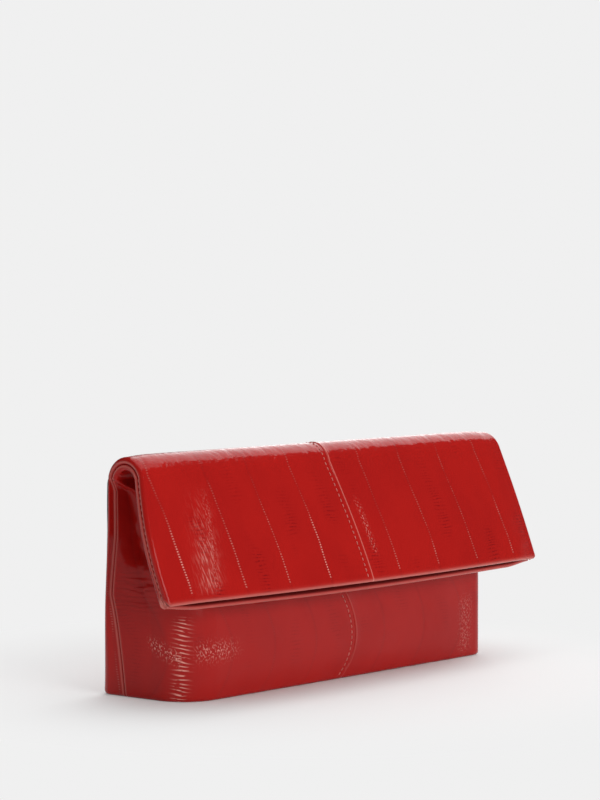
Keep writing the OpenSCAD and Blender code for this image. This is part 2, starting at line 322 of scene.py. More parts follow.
# The two sides differ where a hand folded them, and the front is pinched in under the roll
soft_corner = {-1: 24 * mm, 1: 8 * mm}
bow = {-1: 3 * mm, 1: 1 * mm}
fuller = {-1: 0, 1: 4.5 * mm}
plump = {-1: 1.3, 1: 0.9}
corner_room = 0.62
pinch_in = 9 * mm
pinch_from = 52 * mm
pinch_over = 38 * mm
pinch_end = 9 * mm
pinch = (pinch_in * smooth((level_height - pinch_from) / pinch_over)
         * smooth((roll_back[1] - level_height) / pinch_end))

turns = np.linspace(0, roll_turn, roll_rows + 1)[1:]
flap_s = np.linspace(0, 1, flap_rows + 1)[1:]
rows_up = len(level_height)
rows_roll = rows_up + roll_rows
rows_flap = rows_roll + flap_rows
rows_all = rows_flap + hem_rows + tuck_rows
hang = np.array([-math.sin(flap_lean), -math.cos(flap_lean)])
inwards = np.array([math.cos(flap_lean), -math.sin(flap_lean)])
flap_top = on_roll(roll_turn, roll_r)

lip_short = 1.2 * mm
lip_sag = 1.4 * mm
lip_drop = 2.6 * mm
lip_drop_reach = 0.16
lip_corner_r = 2.6 * mm


def lip_line(x, layer):
    """How far down the flap the lip lies, across the width. The inner lip hangs lower."""
    across = np.clip(np.abs(x) / lip_half, 0, 1)
    low = flap_l - lip_short + lip_sag * (1 - across ** 2)
    if layer == "front":
        low = low + lip_drop * smooth((1 - across) / lip_drop_reach) * (0.75 + 0.25 * smooth(1 - across))
    near = np.clip(1 - (lip_half - np.abs(x)) / lip_corner_r, 0, 1)
    return low - lip_corner_r * (1 - np.sqrt(1 - near ** 2))


def centre_seam(layer):
    """Where the centre seam runs on each row: the hand-folded flap pulls it a little askew."""
    if layer == "back":
        body = -1 * mm * smooth(height_share)
        roll = -1 * mm - 5.5 * mm * np.arange(1, roll_rows + 1) / roll_rows
        flap = (-6.5 + 14.5 * flap_s - 6.3 * flap_s ** 2) * mm
    else:
        up = np.clip(level_height / (58 * mm), 0, 1) ** 0.8
        body = (-2 + 13.8 * np.sin(math.pi * up)) * mm
        roll = np.full(roll_rows, body[-1])
        flap = body[-1] + (4 * mm - body[-1]) * flap_s
    return np.concatenate([body, roll, flap, np.full(hem_rows + tuck_rows, flap[-1])])


# Columns across half a panel: the flat part, the rounded corner, the side, and the edge that curls
# into the side seam
flat_columns = 58
corner_columns = 8
side_columns = 12
curl_columns = 5
columns = flat_columns + corner_columns + side_columns + curl_columns + 1
crowding = 1.5


def half_outline(start, half_at_corner, half_at_seam, corner_r, seam_depth):
    """X and depth of one row of half a panel, from the centre seam to the side seam."""
    flat = 1 - (1 - np.arange(flat_columns + 1) / flat_columns) ** crowding
    flat_end = half_at_corner - corner_r
    bend = np.arange(1, corner_columns + 1) / corner_columns * math.pi / 2
    along = np.arange(1, side_columns + 1) / side_columns
    curl = np.arange(1, curl_columns + 1) / curl_columns * math.pi / 2
    side_end = seam_depth - curl_r
    x = np.concatenate([
        start + flat * (flat_end - start),
        flat_end + corner_r * np.sin(bend),
        half_at_corner + along * (half_at_seam - half_at_corner),
        half_at_seam - curl_r * (1 - np.cos(curl))])
    depth = np.concatenate([
        np.zeros(flat_columns + 1),
        corner_r * (1 - np.cos(bend)),
        corner_r + along * (side_end - corner_r),
        side_end + curl_r * np.sin(curl)])
    return x, depth


lattice_size = 64


def drift(a, b, seed):
    """Smooth random height between -1 and 1, one bump to each unit of a and b."""
    table = np.random.RandomState(seed).rand(lattice_size, lattice_size) * 2 - 1
    low_a = np.floor(a).astype(int)
    low_b = np.floor(b).astype(int)
    fa = smooth(a - low_a)
    fb = smooth(b - low_b)
    pick = [[table[(low_a + i) % lattice_size, (low_b + j) % lattice_size] for j in (0, 1)]
            for i in (0, 1)]
    left = pick[0][0] * (1 - fb) + pick[0][1] * fb
    right = pick[1][0] * (1 - fb) + pick[1][1] * fb
    return left * (1 - fa) + right * fa


def relief(layer, side, u, v, x, z, depth):
    """How far the soft leather stands out of its plain shape: summed in millimetres, returned in metres."""
    lay = 0 if layer == "back" else 7
    broad = drift(u / (19 * mm), v / (27 * mm), 3 + lay)
    small = drift(u / (7 * mm), v / (11 * mm), 5 + lay)
    rows = np.arange(rows_all)[:, None]
    on_body = smooth((rows_up + 4 - rows) / 12)
    on_flap = smooth((rows - rows_roll + 8) / 16)
    last_flat = columns - curl_columns - 1
    edge = np.clip((x / side)[:, last_flat:last_flat + 1] - np.abs(x), 0, 1)
    held = smooth(edge / (6 * mm))
    out = (0.16 * broad + 0.05 * small) * held
    if layer == "back":
        pillow = 1 - (1 - np.clip(edge / (19 * mm), 0, 1)) ** 2
        belly = smooth(edge / (60 * mm)) * np.sin(np.clip(z / roll_back[1], 0, 1) * math.pi)
        out = out + plump[side] * pillow * on_flap
        out = out + 1.0 * pillow * (1 - on_flap) * (1 - on_body)
        out = out + 1.6 * belly * on_body
    else:
        across = depth / depth.max(axis=1, keepdims=True)
        flank = np.sin(math.pi * np.clip(across, 0, 1)) ** 2 * on_body
        front = (1 - smooth(across / 0.2)) * on_body
        upper = smooth((z - 62 * mm) / (24 * mm)) * smooth((120 * mm - z) / (10 * mm))
        belly = np.sin(np.clip(z / knee_z, 0, 2) * math.pi / 2) * smooth(edge / (50 * mm))
        crease = np.sin(z / (1.9 * mm) + 2.4 * drift(depth / (9 * mm), z / (14 * mm), 21))
        crumple = drift(depth / (5 * mm), z / (9 * mm), 31)
        crumple = crumple + 0.4 * drift(depth / (2.4 * mm), z / (4 * mm), 33)
        out = out + 1.3 * front * belly
        out = out + 0.5 * flank * crease * np.exp(-((z - 64 * mm) / (13 * mm)) ** 2)
        out = out + 1.1 * flank * crumple * upper
        out = out - 0.2 * depth.max(axis=1, keepdims=True) / mm * flank * upper
    if side > 0:
        out = out + 0.45 * np.exp(-((np.abs(u) / (2.6 * mm)) ** 2))
    return out * mm


def grid_normals(points, side):
    across = np.gradient(points, axis=1)
    along = np.gradient(points, axis=0)
    normals = np.cross(across, along) * side
    return normals / np.maximum(np.linalg.norm(normals, axis=2, keepdims=True), 1e-12)


hem_r = 1.45 * mm
hem_l = 7.5 * mm
hem_in = 2.3 * hem_r
least_corner = 0.6 * mm
least_side = 2.4 * mm
seam_gap = 0.05 * mm
gape_most = 1.6 * mm
gape_reach = 26 * mm


def lay_out(layer, side):
    """Outer face of half the front or back leather, as rows of points from under the foot to the hem."""
    x = np.zeros((rows_all, columns))
    depth = np.zeros((rows_all, columns))
    base = np.zeros((rows_all, 2))
    into = np.zeros((rows_all, 2))
    start = centre_seam(layer) * side
    for row in range(rows_up):
        front = np.array([front_y[row], front_z[row]])
        back = np.array([back_y[row], level_height[row]])
        through = np.linalg.norm(back - front)
        tuck = inset[row]
        more = fuller[side] * (1 - spread[row]) - pinch[row]
        halves = [body_front_half[row] + more, body_back_half[row]]
        room = through - seam_in[row]
        bend = soft_corner[side]
        if level_height[row] > foot_r:
            bend = min(bend, corner_room * room)
        corners = [max(bend, edge_r), back_corner[row]]
        share = (room - corners[0]) / (through - corners[0] - corners[1])
        at_seam = halves[0] + share * (halves[1] - halves[0])
        own = 0 if layer == "front" else 1
        seam_depth = room if layer == "front" else seam_in[row]
        x[row], depth[row] = half_outline(
            start[row], halves[own] - tuck, at_seam - tuck, max(corners[own] - tuck, least_corner),
            max(seam_depth - tuck, least_side))
        inward = (back - front) / through
        into[row] = inward if layer == "front" else -inward
        base[row] = (front if layer == "front" else back) + into[row] * tuck
    for row in range(rows_up, rows_all):
        if row < rows_roll:
            turn = turns[row - rows_up]
            out = on_roll(turn, 1.0) - roll_middle
            half = roll_half
            base[row] = on_roll(turn, roll_r if layer == "back" else roll_r - stack)
            into[row] = -out if layer == "back" else out
        else:
            down = flap_s[min(row - rows_roll, flap_rows - 1)]
            half = roll_half + down * (lip_half - roll_half) + bow[side] * math.sin(math.pi * down)
            base[row] = flap_top if layer == "back" else flap_top + inwards * stack
            into[row] = inwards if layer == "back" else -inwards
        x[row], depth[row] = half_outline(start[row], half, half, edge_r, stack / 2 - seam_gap)
    down = np.zeros((rows_all, columns))
    plain_x = x[rows_flap - 1]
    plain_depth = depth[rows_flap - 1]
    lip = lip_line(plain_x, layer)
    down[rows_roll:rows_flap] = flap_s[:, None] * (lip - hem_r)
    hem_x = np.minimum(plain_x, lip_half - hem_in)
    for step in range(hem_rows):
        turn = math.pi * (step + 1) / hem_rows
        row = rows_flap + step
        x[row] = (plain_x + hem_x) / 2 + math.cos(turn) * (plain_x - hem_x) / 2
        depth[row] = (plain_depth + 2 * hem_r) / 2 + math.cos(turn) * (plain_depth - 2 * hem_r) / 2
        down[row] = lip - hem_r + hem_r * math.sin(turn)
    for step in range(tuck_rows):
        row = rows_flap + hem_rows + step
        x[row] = hem_x
        depth[row] = 2 * hem_r
        down[row] = lip - hem_r - hem_l * (step + 1) / tuck_rows
    yz = base[:, None, :] + depth[..., None] * into[:, None, :] + down[..., None] * hang
    points = np.concatenate([side * x[..., None], yz], axis=2)
    facing = side if layer == "front" else -side
    normals = grid_normals(points, facing)
    steps_across = np.linalg.norm(np.diff(points, axis=1), axis=2)
    u = np.concatenate([np.zeros((rows_all, 1)), np.cumsum(steps_across, axis=1)], axis=1)
    steps_up = np.linalg.norm(np.diff(points[:, 2], axis=0), axis=1)
    v = np.repeat(np.concatenate([[0], np.cumsum(steps_up)])[:, None], columns, axis=1)
    rows = np.arange(rows_all)[:, None]
    above_foot = smooth((rows - foot_rows) / 4)
    out = relief(layer, side, u, v, side * x, yz[..., 1], depth) * above_foot
    if layer == "back":
        gape = gape_most * smooth((lip_half - np.abs(x)) / gape_reach)
        out = out + gape * smooth((rows - rows_roll) / flap_rows)
    face = [0, -inwards[0], -inwards[1]] if layer == "back" else [0, *inwards]
    for row in range(rows_flap, rows_all):
        points[row] += np.outer(out[rows_flap - 1], face)
        out[row] = 0
    points = points + normals * out[..., None]
    return {"points": points, "normals": grid_normals(points, facing), "u": u * side, "v": v}


panels = {(layer, side): lay_out(layer, side) for layer in ("back", "front") for side in (-1, 1)}
side_name = {-1: "left", 1: "right"}
rim_steps = 4


def fill_map(piece, name, across, along):
    """Fills a UV map of a piece from one pair of values, in metres, for each of its points."""
    layer = piece.data.uv_layers.new(name=name)
    corner = np.zeros(len(piece.data.loops), int)
    piece.data.loops.foreach_get("vertex_index", corner)
    uv = np.stack([across[corner], along[corner]], 1)
    layer.data.foreach_set("uv", uv.ravel().astype(np.float32))


def shell(name, panel, rows, cols, sink, thick, shift):
    """Closed piece cut out of a panel: rows and columns of its outer face, sunk by so much, so thick."""
    cut_rows = slice(rows[0], rows[1] + 1)
    cut_columns = slice(cols[0], cols[1] + 1)
    points = panel["points"][cut_rows, cut_columns]
    normals = panel["normals"][cut_rows, cut_columns]
    u = panel["u"][cut_rows, cut_columns]
    v = panel["v"][cut_rows, cut_columns]
    to_side = np.abs(panel["u"][cut_rows, -1:] - u)
    depth = np.broadcast_to(sink, rows_all)[cut_rows, None, None]
    outer = points - normals * depth
    inner = points - normals * (depth + thick)
    count, wide = outer.shape[:2]

    def rim(edge, next_to):
        """The rounded edge between the two faces."""
        away = outer[:, edge] - outer[:, next_to]
        away /= np.maximum(np.linalg.norm(away, axis=1, keepdims=True), 1e-12)
        middle = (outer[:, edge] + inner[:, edge]) / 2
        half = (outer[:, edge] - inner[:, edge]) / 2
        ring = []
        for step in range(1, rim_steps):
            turn = math.pi * step / rim_steps
            ring.append(middle + half * math.cos(turn) + away * thick / 2 * math.sin(turn))
        return np.stack(ring, 1)

    def around(values):
        """One value for every point of the loop: outer face, rim, inner face, rim."""
        return np.concatenate([values, values[:, -1:].repeat(rim_steps - 1, 1), values[:, ::-1],
                               values[:, :1].repeat(rim_steps - 1, 1)], axis=1).ravel()

    far = rim(wide - 1, wide - 2)
    near = rim(0, 1)[:, ::-1]
    loop = np.concatenate([outer, far, inner[:, ::-1], near], axis=1)
    no_normals = np.zeros_like(far)
    loop_normals = np.concatenate([normals, no_normals, -normals[:, ::-1], no_normals], axis=1)
    size = loop.shape[1]
    j = np.arange(size)
    faces = []
    for i in range(count - 1):
        a = i * size + j
        b = i * size + (j + 1) % size
        faces.extend(np.stack([a, b, b + size, a + size], 1).tolist())
    for i, flip in ((0, True), (count - 1, False)):
        start = i * size
        end = start + size - rim_steps
        cap = [[start + k, start + k + 1, end - k - 1, end - k] for k in range(wide - 1)]
        cap.append([start + k for k in range(wide - 1, wide + rim_steps)])
        cap.append([start + k % size for k in range(size - rim_steps, size + 1)])
        faces.extend([face[::-1] for face in cap] if flip else cap)
    centre = normals[count // 2, wide // 2]
    middle_face = faces[(count // 2) * size + wide // 2]
    first, second, third = [loop.reshape(-1, 3)[k] for k in middle_face[:3]]
    if np.cross(second - first, third - second) @ centre < 0:
        faces = [face[::-1] for face in faces]
    made = mesh_object(name, loop.reshape(-1, 3), faces)
    made.data.shade_smooth()
    fill_map(made, "cut", around(u) + shift[0], around(v) + shift[1])
    fill_map(made, "rim", around(to_side), np.zeros(count * size))
    made.data.normals_split_custom_set_from_vertices([tuple(n) for n in loop_normals.reshape(-1, 3)])
    return made


half_roll = rows_up + roll_rows // 2
cuts = {
    "body": (0, rows_up - 1),
    "roll_back": (rows_up - 1, half_roll - 1),
    "roll_front": (half_roll - 1, rows_roll - 1),
    "flap": (rows_roll - 1, rows_all - 1),
}
still_at = 0.97
free_at = 0.3


def point_at(y_z, x=0.0):
    return (x, float(y_z[0]), float(y_z[1]))


def fasten(piece, layer, cut, side):
    """Rides a piece on its body, or else bakes its place into its points."""
    if cut == "body":
        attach(piece, "pouch")
    elif cut == "roll_back":
        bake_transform(piece)
    elif cut == "roll_front":
        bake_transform(piece)
    elif layer == "front":
        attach(piece, "flap")
    else:
        point_at(flap_top, side * lip_half * still_at)
        point_at(flap_top, side * lip_half * free_at)
        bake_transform(piece)


# ---- Eel leather ----
# Narrow eel skins, glazed to a high gloss and sewn side by side into panels. Each skin has a dotted
# line where it joins the next and fine cross ripples down its middle. Pale painted highlights lie at
# the left corner, on the flap over fine scratches, along the lips and on the seam ridges, and the
# inside of the hems is painted shade.
eel_red = (0.380, 0.0100, 0.0077)
eel_dark = (0.20, 0.004, 0.005)
# Pale colour of the painted highlights and of the pale dots and scratches
eel_light = (0.76, 0.31, 0.26)
# Near-black colour of the painted shade inside the hems
hem_shade_colour = (0.035, 0.004, 0.004)
front_shift = 1.0
flap_start = float(panels["back", -1]["v"][rows_roll - 1, 0]) / mm
lip_v = {layer: float(panels[layer, -1]["v"][rows_flap + 3, 0]) / mm for layer in ("back", "front")}

# Widths and pitches of the pattern, in millimetres. The outermost left skins are wider.
skin_w = 33.0
left_skin_w = 33.3
outer_skin_w = 40
outer_skin_lag = 0.5
right_skin_w = 34.8
right_skin_lead = 9.8
dot_pitch = 1.45
ladder_pitch = 1.9
stroke_pitch = 2.4
fold_pitch = 3.4
corner_swing = 124


def read_map(tree, name, axis):
    """What a UV map holds on one of its axes."""
    spot = node(tree, "ShaderNodeUVMap", {"uv_map": name}, {})
    return node(tree, "ShaderNodeSeparateXYZ", {}, {0: spot}, axis)


def mix_colours(tree, share, first, second):
    return node(tree, "ShaderNodeMix", {"data_type": "RGBA"}, {"Factor": share, "A": first, "B": second}, 2)


def eel_leather():
    """Glazed eel. u runs across a panel from the centre seam and v runs up it, both in millimetres."""
    material, tree = new_material("eel_leather")
    u = read_map(tree, "cut", "X") / mm
    v = read_map(tree, "cut", "Y") / mm
    side_gap = read_map(tree, "rim", "X") / mm
    front = v.above(front_shift / mm / 2)
    back = 1 - front
    v = v - front * (front_shift / mm)
    down = v - flap_start

    def noise(along_u, along_v, detail, lift=0.0):
        """Noise with so many bumps to a millimetre each way. The lift makes each use a different one."""
        spot = node(tree, "ShaderNodeCombineXYZ", {},
                    {0: u * along_u + lift, 1: v * along_v, 2: front * 9 + lift})
        return node(tree, "ShaderNodeTexNoise", {}, {"Vector": spot, "Scale": 1.0, "Detail": detail}, 0)

    # Joins between the skins: a fine groove and a pale dotted line, the dots partly painted highlight
    across = u + (noise(0.02, 0.03, 1) - 0.5) * 3
    left_skin = (across / left_skin_w).most(across / outer_skin_w - outer_skin_lag)
    right_skin = (across + right_skin_lead) / right_skin_w
    skin = left_skin + (right_skin - left_skin) * across.above(0)
    off_line = ((skin + 0.5).fraction() - 0.5) * skin_w
    off_middle = skin_w / 2 - abs(off_line)
    not_centre = abs(u).rise(12, 16)
    line_end = 1 - down.rise(66, 68.5)
    dot_patches = noise(0.05, 0.045, 2, 4.0).rise(0.32, 0.60) * noise(0.3, 0.35, 1, 14.0).rise(0.15, 0.6)
    dot_patches = dot_patches * (1 - front * 0.85) * (down.rise(15, 60) * 0.6 + 0.4) * line_end
    bold = (skin.hill(-1, 0.2) + skin.hill(-4, 0.2)) * down.rise(28, 36) * line_end * back
    dots = v.ripple(dot_pitch).rise(0.25, 0.7)
    dotted = off_line.hill(0, 0.42) * not_centre * dots * (dot_patches * 0.85 + bold * 0.7)
    groove = off_line.hill(0, 0.9) * not_centre

    # Dark cross ripples down the middle of each skin
    crossing = (v + (noise(0.05, 0.12, 1, 2.0) - 0.5) * 4).ripple(ladder_pitch)
    ladder_patch = noise(0.03, 0.035, 1, 7.0).rise(0.47, 0.60) * noise(0.5, 0.5, 1, 1.0).rise(0.3, 0.6)
    ladder = crossing.rise(0.45, 0.95) * off_middle.hill(0, 4.4) * ladder_patch
    ladder = ladder * (down.rise(12, 34) * 0.55 + 0.45)

    # Painted highlights low on the body: strokes down the left corner, a patch each side, one at the right
    # end
    plain_u = u + front * (v - 2).wave(corner_swing) * 13 * (1 - v.rise(60, 64))
    cells = noise(1.1, 0.65, 2, 17.0).rise(0.52, 0.62)
    stroke_line = v + u * 0.16 + (noise(0.05, 0.12, 1, 15.0) - 0.5) * 5.0
    left_corner = front * plain_u.hill(-119, 3.4) * v.span(4, 9, 52, 58)
    strokes = stroke_line.ripple(stroke_pitch).rise(0.62, 0.95) * left_corner
    strokes = strokes * noise(0.25, 0.45, 1, 16.0).rise(0.32, 0.5)
    front_patch = v.hill(36, 4.5) * plain_u.span(-114, -108, -98, -76)
    flank_line = v + (plain_u + 119) * 0.45
    flank_patch = flank_line.hill(32, 3.2) * plain_u.span(-141, -134, -121, -118) * 1.4
    right_end = front * plain_u.hill(112, 5) * v.span(8, 16, 42, 50)
    low_highlights = strokes * 1.3 + front * (front_patch + flank_patch) * cells * 0.8 + right_end * cells * 0.4

    # Marks on the flap: fine scratches near its left end, painted pale as highlight, with a painted sheen
    #     # and bright glinting cells, and a few pale specks by the centre seam
    on_flap = back * down.span(6, 24, 64, 70)
    scar_line = u + down * 0.28
    scratch_glints = noise(0.95, 0.16, 3, 18.0).rise(0.48, 0.64) * (down.rise(20, 44) * 0.34 + 0.14)
    scar_edge_glints = cells * scar_line.hill(-102, 2.5) * 0.5
    scar_and_sheen = scar_line.hill(-108, 7) * (scratch_glints + scar_edge_glints + 0.06 * down.rise(25, 50))
    specks = u.hill(9.5, 1.8) * down.span(20, 30, 50, 60) * cells * 0.5
    wear_and_highlights = low_highlights + on_flap * (scar_and_sheen + specks)

    # Edges: painted highlights along the lips and on the ridges of the seams, and painted shade inside the
    # hems
    lip_highlight = v.hill(lip_v["back"], 1.7) * back + v.hill(lip_v["front"] - 1.2, 2.6) * front
    seam_highlight = u.hill(0.5, 0.42) * (1 - front * 0.7) * 1.5 + side_gap.hill(1.7, 0.6)
    hem_shade_mask = v.rise(lip_v["back"] + 1.6, lip_v["back"] + 3.2) * back
    hem_shade_mask = hem_shade_mask + v.rise(lip_v["front"] + 1.6, lip_v["front"] + 3.2) * front

    # Height of the surface, in millimetres
    crackle_patch = noise(0.028, 0.03, 2, 12.0).rise(0.56, 0.70)
    cracks = noise(0.55, 1.9, 4, 5.0) * crackle_patch
    grain = noise(1.7, 1.7, 2, 6.0)
    long_grain = noise(1.1, 0.16, 2, 8.0)
    fibres = noise(0.16, 1.5, 3, 3.0)
    swell = noise(0.12, 0.09, 2, 9.0)
    ragged = noise(0.2, 0.12, 2, 20.0) * back * down.span(-46, -36, -2, 9)
    fold_line = v + noise(0.06, 0.1, 2, 19.0) * 9
    folds = fold_line.wave(fold_pitch) * front * abs(plain_u).rise(128, 138) * v.hill(70, 13)
    height = (folds * 0.12 + grain * 0.007 + long_grain * 0.035 + swell * 0.24 + fibres * 0.016
              + cracks * 0.03 + wear_and_highlights * 0.18 + ragged * 0.5 - groove * 0.02 + dotted * 0.06)
    bump = node(tree, "ShaderNodeBump", {}, {"Strength": 1.0, "Distance": mm, "Height": height})

    mottle = noise(0.035, 0.02, 3, 10.0).rise(0.35, 0.65)
    skin_tone = node(tree, "ShaderNodeTexNoise", {}, {"Vector": skin.whole(), "Scale": 3.7, "Detail": 0}, 0)
    darkness = mottle * 0.14 + skin_tone * 0.16 + ladder * 0.75 + groove * 0.2
    # Pale colour: mostly painted highlight, over the real dots and scratches
    highlights_and_wear = dotted * 0.65 + wear_and_highlights * 0.8 + lip_highlight * 0.46 + seam_highlight * 0.26
    colour = mix_colours(tree, darkness, (*eel_red, 1), (*eel_dark, 1))
    colour = mix_colours(tree, highlights_and_wear, colour, (*eel_light, 1))
    # Painted shade: the inside of each hem goes nearly black
    colour = mix_colours(tree, hem_shade_mask * 0.85, colour, (*hem_shade_colour, 1))
    rough = 0.08 + noise(0.2, 0.3, 2, 11.0) * 0.07 + crackle_patch * 0.03 + ladder * 0.12
    shader = node(tree, "ShaderNodeBsdfPrincipled", {},
                  {"Base Color": colour, "Roughness": rough, "IOR": 1.26, "Normal": bump})
    node(tree, "ShaderNodeOutputMaterial", {}, {"Surface": shader})
    return material


eel = eel_leather()
stands_for = {
    ("back", "body"): "back_panel_",
    ("back", "roll_back"): "fold_outer_",
    ("back", "roll_front"): "flap_crest_",
    ("back", "flap"): "lip_panel_",
    ("front", "body"): "front_panel_",
    ("front", "roll_front"): "fold_inner_",
    ("front", "flap"): "flap_inner_",
}
map_shift = {"back": (0, 0), "front": (0, front_shift)}
for (layer, side), panel in panels.items():
    for cut, rows in cuts.items():
        name = f"{layer}_{cut}_leather_{side_name[side]}"
        piece = shell(name, panel, rows, (0, columns - 1), 0, leather_t, map_shift[layer])
        piece.data.materials.append(eel)
        fasten(piece, layer, cut, side)
        if (layer, cut) in stands_for:
            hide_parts(stands_for[layer, cut] + side_name[side])

# ---- Interlining ----
# A thin felted stiffener lies behind the leather of the body only, and lets it stand by itself.
# It is cut short of the foot, the corners and the roll.
interlining_t = 0.7 * mm
interlining_sink = leather_t + 0.1 * mm
felt_grey = (0.30, 0.28, 0.25)
shade_of_dark = 0.55


def cloth(name, colour, thread_mm, bumpy, rough, sheen):
    """Woven or felted cloth: crossing threads over a slow mottle."""
    material, tree = new_material(name)
    u = read_map(tree, "cut", "X") / mm
    v = read_map(tree, "cut", "Y") / mm
    weave = u.wave(thread_mm) * v.wave(thread_mm)
    spot = node(tree, "ShaderNodeCombineXYZ", {}, {0: u, 1: v})
    fuzz = node(tree, "ShaderNodeTexNoise", {}, {"Vector": spot, "Scale": 0.9, "Detail": 4})
    slow = node(tree, "ShaderNodeTexNoise", {}, {"Vector": spot, "Scale": 0.07, "Detail": 2})
    dark = tuple(part * shade_of_dark for part in colour)
    darkness = (weave * 0.25 + 0.25 + fuzz * 0.3) * slow.rise(0.2, 0.8)
    mixed = mix_colours(tree, darkness, (*colour, 1), (*dark, 1))
    bump = node(tree, "ShaderNodeBump", {},
                {"Strength": 1.0, "Distance": mm, "Height": (weave + fuzz * 2) * bumpy})
    shader = node(tree, "ShaderNodeBsdfPrincipled", {},
                  {"Base Color": mixed, "Roughness": rough + fuzz * 0.1, "Sheen Weight": sheen,
                   "Normal": bump})
    node(tree, "ShaderNodeOutputMaterial", {}, {"Surface": shader})
    return material


felt = cloth("felt", felt_grey, thread_mm=0.9, bumpy=0.03, rough=0.85, sheen=0.1)
felt_rows = (foot_rows + 2, rows_up - 16)
felt_columns = (1, flat_columns - 4)
for (layer, side), panel in panels.items():
    piece = shell(f"{layer}_interlining_{side_name[side]}", panel, felt_rows, felt_columns,
                  interlining_sink, interlining_t, (0, 0))
    piece.data.materials.append(felt)
    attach(piece, "pouch")
    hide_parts(f"{layer}_interlining")

# ---- Lining ----
# Black twill lines the body, the roll and both layers of the flap. It is sewn into the side seams
# and stops under the leather facings at the mouth.
lining_t = 0.5 * mm
lining_black = (0.016, 0.013, 0.013)
under_felt = 2.3 * mm
under_leather = 1.5 * mm
twill = cloth("lining_twill", lining_black, thread_mm=0.6, bumpy=0.02, rough=0.6, sheen=0.25)
felt_end = smooth((np.arange(rows_all) - rows_up + 14) / 12)
lining_sink = under_felt + (under_leather - under_felt) * felt_end
lining_low = foot_rows + 2
facing_top = rows_roll - 1 + 26
lining_columns = (0, columns - curl_columns - 3)
lining_r = {"back": roll_r - under_leather, "front": roll_r - stack + under_leather}
lining_for = {
    ("back", "body"): "back_lining",
    ("back", "roll_back"): "fold_outer_lining",
    ("back", "roll_front"): "flap_crest_lining",
    ("back", "flap"): "lip_lining",
    ("front", "body"): "front_lining",
    ("front", "roll_back"): "fold_inner_lining",
    ("front", "roll_front"): "fold_inner_lining",
    ("front", "flap"): "flap_inner_lining",
}
for (layer, side), panel in panels.items():
    for cut, rows in cuts.items():
        first = lining_low if cut == "body" else rows[0]
        last = facing_top if cut == "flap" else rows[1]
        piece = shell(f"{layer}_{cut}_lining_{side_name[side]}", panel, (first, last), lining_columns,
                      lining_sink, lining_t, (0, 0))
        piece.data.materials.append(twill)
        fasten(piece, layer, cut, side)
        length = float(panel["v"][last, 2] - panel["v"][first, 2])
        if cut.startswith("roll"):
            length = float(lining_r[layer] * roll_turn / 2)
        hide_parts(lining_for[layer, cut])

# ---- Mouth facings and magnets ----
# A band of plain calf leather faces each lip inside, butted to the turned hem. A flat magnet is
# sewn in behind each band and holds the lips together.
facing_t = 1.25 * mm
facing_sink = 1.6 * mm
facing_red = (0.20, 0.012, 0.012)
shade_of_calf = 0.6
facing_rows = (facing_top, rows_roll - 1 + 36)
lip_names = {"back": "outer", "front": "inner"}


def calf_leather():
    """Plain calf: small pores over a slow change of tone."""
    material, tree = new_material("facing_calf")
    cut = node(tree, "ShaderNodeUVMap", {"uv_map": "cut"}, {})
    big = node(tree, "ShaderNodeVectorMath", {"operation": "SCALE"}, {0: cut, "Scale": 1 / mm})
    pores = node(tree, "ShaderNodeTexVoronoi", {}, {"Vector": big, "Scale": 1.1}, "Distance")
    tone = node(tree, "ShaderNodeTexNoise", {}, {"Vector": big, "Scale": 0.12, "Detail": 4})
    dark = tuple(part * shade_of_calf for part in facing_red)
    colour = mix_colours(tree, tone.rise(0.35, 0.7), (*facing_red, 1), (*dark, 1))
    bump = node(tree, "ShaderNodeBump", {},
                {"Strength": 1.0, "Distance": mm, "Height": pores * 0.05 + tone * 0.1})
    shader = node(tree, "ShaderNodeBsdfPrincipled", {},
                  {"Base Color": colour, "Roughness": 0.38 + tone * 0.2, "Normal": bump})
    node(tree, "ShaderNodeOutputMaterial", {}, {"Surface": shader})
    return material


calf = calf_leather()
for (layer, side), panel in panels.items():
    piece = shell(f"{lip_names[layer]}_facing_{side_name[side]}", panel, facing_rows, lining_columns,
                  facing_sink, facing_t, (0, 0))
    piece.data.materials.append(calf)
    fasten(piece, layer, "flap", side)
    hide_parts(f"{lip_names[layer]}_facing")

magnet_r = 7 * mm
magnet_t = 1.1 * mm
magnet_bevel = 0.25 * mm
magnet_row = rows_roll - 1 + 34
magnet_column = 4
magnet_turns = 40
steel_light = (0.52, 0.53, 0.55)
steel_dark = (0.3, 0.3, 0.32)


def steel():
    """Nickel-plated steel with a fine cloudiness."""
    material, tree = new_material("plated_steel")
    spot = node(tree, "ShaderNodeTexCoord", {}, {}, "Object")
    fine = node(tree, "ShaderNodeTexNoise", {}, {"Vector": spot, "Scale": 900.0, "Detail": 4})
    colour = mix_colours(tree, fine * 0.2, (*steel_light, 1), (*steel_dark, 1))
    shader = node(tree, "ShaderNodeBsdfPrincipled", {},
                  {"Base Color": colour, "Metallic": 1.0, "Roughness": 0.25 + fine * 0.2})
    node(tree, "ShaderNodeOutputMaterial", {}, {"Surface": shader})
    return material


